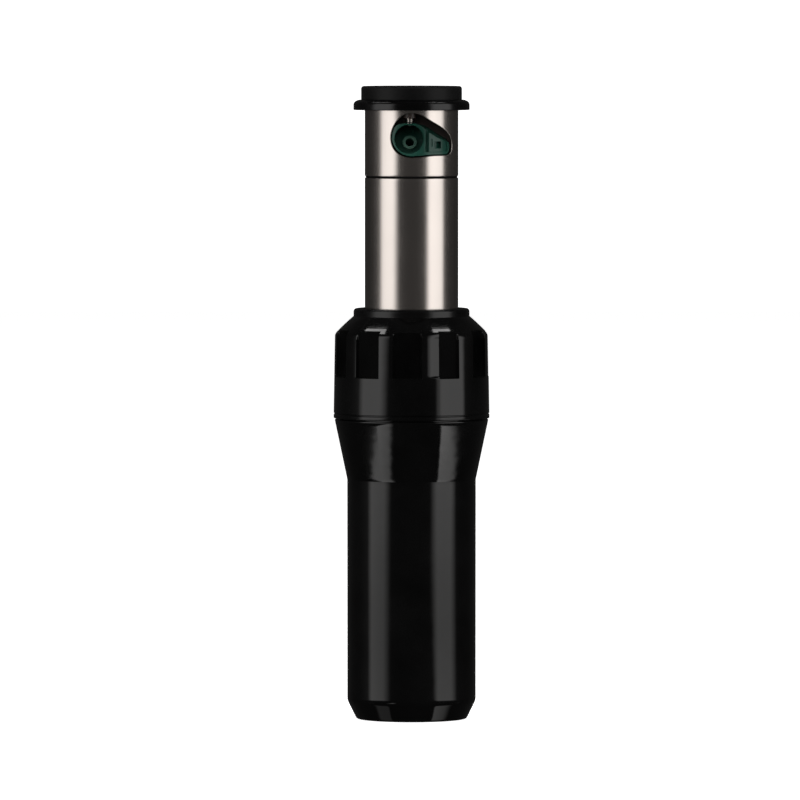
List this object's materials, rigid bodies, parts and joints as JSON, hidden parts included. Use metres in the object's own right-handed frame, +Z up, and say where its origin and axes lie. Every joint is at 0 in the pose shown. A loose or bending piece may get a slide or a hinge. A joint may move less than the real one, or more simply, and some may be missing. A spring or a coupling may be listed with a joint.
{
  "type": "pop-up rotor sprinkler",
  "caption": "Pop-up rotor lawn sprinkler with a black case, ribbed screw cap, steel riser and turret, green nozzle and rubber cover, shown popped up.",
  "frame": {"origin": "centre of the case's bottom face, round the inlet", "axes": "+Z up along the riser, -Y the way the nozzle looks, +X to the right of the nozzle seen from the front"},
  "size_m": [0.0784, 0.0784, 0.3185],
  "materials": {
    "black_body": "moulded black plastic, satin",
    "black_cap": "moulded black plastic, satin",
    "black_inner": "moulded black plastic",
    "rubber": "matte rubber",
    "seal_rubber": "soft seal rubber",
    "steel_sleeve": "drawn stainless steel, fine lengthwise brushing",
    "steel_small": "stainless steel",
    "spring_steel": "stainless spring wire",
    "nozzle_green": "moulded dark green plastic",
    "gear_acetal": "natural acetal",
    "housing_grey": "moulded dark grey plastic",
    "screen_plastic": "moulded pale grey plastic"
  },
  "bodies": {
    "case": {"case_body": "black_body", "body_cap": "black_cap", "cap_o_ring": "seal_rubber", "wiper_seal": "seal_rubber", "seal_retainer": "black_inner", "retraction_spring": "spring_steel"},
    "guide_ring": {"ratchet_ring": "gear_acetal"},
    "riser": {"riser_tube": "black_inner", "riser_sleeve": "steel_sleeve", "filter_screen": "screen_plastic", "check_valve_seal": "seal_rubber", "check_valve_plug": "black_inner", "stator_plate": "housing_grey", "bypass_spring": "spring_steel", "gearbox_housing": "housing_grey", "gearbox_lid": "housing_grey"},
    "bypass": {"bypass_poppet": "gear_acetal"},
    "turbine": {"turbine": "gear_acetal"},
    "carrier_1": {"carrier_1": "gear_acetal"},
    "carrier_2": {"carrier_2": "gear_acetal"},
    "turret": {"output_carrier": "gear_acetal", "nozzle_housing": "black_inner", "turret_sleeve": "steel_sleeve", "thrust_washer": "gear_acetal", "turret_seal": "seal_rubber", "retaining_clip": "steel_small", "nozzle": "nozzle_green", "turret_flange": "black_cap", "rubber_cover": "rubber"},
    "trip": {"trip_rod": "steel_small", "port_flipper": "gear_acetal"},
    "arc_ring": {"arc_ring": "gear_acetal"},
    "arc_shaft": {"arc_shaft": "steel_small"},
    "radius_screw": {"radius_screw": "steel_small"},
    "planet_1a": {"planet_1a": "gear_acetal"},
    "planet_1b": {"planet_1b": "gear_acetal"},
    "planet_1c": {"planet_1c": "gear_acetal"},
    "planet_2a": {"planet_2a": "gear_acetal"},
    "planet_2b": {"planet_2b": "gear_acetal"},
    "planet_2c": {"planet_2c": "gear_acetal"},
    "planet_3a": {"planet_3a": "gear_acetal"},
    "planet_3b": {"planet_3b": "gear_acetal"},
    "planet_3c": {"planet_3c": "gear_acetal"}
  },
  "joints": [
    {"name": "riser_popup", "type": "slide", "parent": "case", "child": "guide_ring", "axis": [0, 0, 1], "range_m": [-0.0994, 0], "deforming": ["retraction_spring"]},
    {"name": "riser_ratchet", "type": "hinge", "parent": "guide_ring", "child": "riser", "pos_m": [0, 0, 0.16], "axis": [0, 0, 1], "continuous": true},
    {"name": "turret_spin", "type": "hinge", "parent": "riser", "child": "turret", "pos_m": [0, 0, 0.272], "axis": [0, 0, 1], "continuous": true},
    {"name": "turbine_spin", "type": "hinge", "parent": "riser", "child": "turbine", "pos_m": [0, 0, 0.18], "axis": [0, 0, 1], "continuous": true},
    {"name": "carrier_1_spin", "type": "hinge", "parent": "riser", "child": "carrier_1", "pos_m": [0, 0, 0.199], "axis": [0, 0, 1], "continuous": true},
    {"name": "carrier_2_spin", "type": "hinge", "parent": "riser", "child": "carrier_2", "pos_m": [0, 0, 0.206], "axis": [0, 0, 1], "continuous": true},
    {"name": "planet_1a_spin", "type": "hinge", "parent": "carrier_1", "child": "planet_1a", "pos_m": [0.0075, 0, 0.1965], "axis": [0, 0, 1], "continuous": true},
    {"name": "planet_1b_spin", "type": "hinge", "parent": "carrier_1", "child": "planet_1b", "pos_m": [-0.00375, 0.0065, 0.1965], "axis": [0, 0, 1], "continuous": true},
    {"name": "planet_1c_spin", "type": "hinge", "parent": "carrier_1", "child": "planet_1c", "pos_m": [-0.00375, -0.0065, 0.1965], "axis": [0, 0, 1], "continuous": true},
    {"name": "planet_2a_spin", "type": "hinge", "parent": "carrier_2", "child": "planet_2a", "pos_m": [0.0075, 0, 0.2037], "axis": [0, 0, 1], "continuous": true},
    {"name": "planet_2b_spin", "type": "hinge", "parent": "carrier_2", "child": "planet_2b", "pos_m": [-0.00375, 0.0065, 0.2037], "axis": [0, 0, 1], "continuous": true},
    {"name": "planet_2c_spin", "type": "hinge", "parent": "carrier_2", "child": "planet_2c", "pos_m": [-0.00375, -0.0065, 0.2037], "axis": [0, 0, 1], "continuous": true},
    {"name": "planet_3a_spin", "type": "hinge", "parent": "turret", "child": "planet_3a", "pos_m": [0.0075, 0, 0.2109], "axis": [0, 0, 1], "continuous": true},
    {"name": "planet_3b_spin", "type": "hinge", "parent": "turret", "child": "planet_3b", "pos_m": [-0.00375, 0.0065, 0.2109], "axis": [0, 0, 1], "continuous": true},
    {"name": "planet_3c_spin", "type": "hinge", "parent": "turret", "child": "planet_3c", "pos_m": [-0.00375, -0.0065, 0.2109], "axis": [0, 0, 1], "continuous": true},
    {"name": "arc_adjust", "type": "hinge", "parent": "turret", "child": "arc_ring", "pos_m": [0, 0, 0.2755], "axis": [0, 0, 1], "range_deg": [0, 320]},
    {"name": "arc_shaft_turn", "type": "hinge", "parent": "turret", "child": "arc_shaft", "pos_m": [-0.01273, 0.01273, 0.2755], "axis": [0, 0, 1], "range_deg": [-1600, 0]},
    {"name": "radius_screw_drive", "type": "slide", "parent": "turret", "child": "radius_screw", "axis": [0, 0, 1], "range_m": [-0.006, 0]},
    {"name": "trip_flip", "type": "hinge", "parent": "riser", "child": "trip", "pos_m": [0.0183, 0, 0.2], "axis": [0, 0, 1], "range_deg": [-48, 0]},
    {"name": "bypass_lift", "type": "slide", "parent": "riser", "child": "bypass", "axis": [0, 0, 1], "range_m": [0, 0.003], "stiffness_N_per_m": 150, "springref_m": -0.004, "deforming": ["bypass_spring"]}
  ],
  "couplings": [
    {"joint": "turbine_spin", "follows": "turret_spin", "ratio": 125},
    {"joint": "carrier_1_spin", "follows": "turret_spin", "ratio": 25},
    {"joint": "carrier_2_spin", "follows": "turret_spin", "ratio": 5},
    {"joint": "planet_1a_spin", "follows": "turret_spin", "ratio": -66.667},
    {"joint": "planet_1b_spin", "follows": "turret_spin", "ratio": -66.667},
    {"joint": "planet_1c_spin", "follows": "turret_spin", "ratio": -66.667},
    {"joint": "planet_2a_spin", "follows": "turret_spin", "ratio": -13.333},
    {"joint": "planet_2b_spin", "follows": "turret_spin", "ratio": -13.333},
    {"joint": "planet_2c_spin", "follows": "turret_spin", "ratio": -13.333},
    {"joint": "planet_3a_spin", "follows": "turret_spin", "ratio": -2.6667},
    {"joint": "planet_3b_spin", "follows": "turret_spin", "ratio": -2.6667},
    {"joint": "planet_3c_spin", "follows": "turret_spin", "ratio": -2.6667},
    {"joint": "arc_shaft_turn", "follows": "arc_adjust", "ratio": -5}
  ]
}
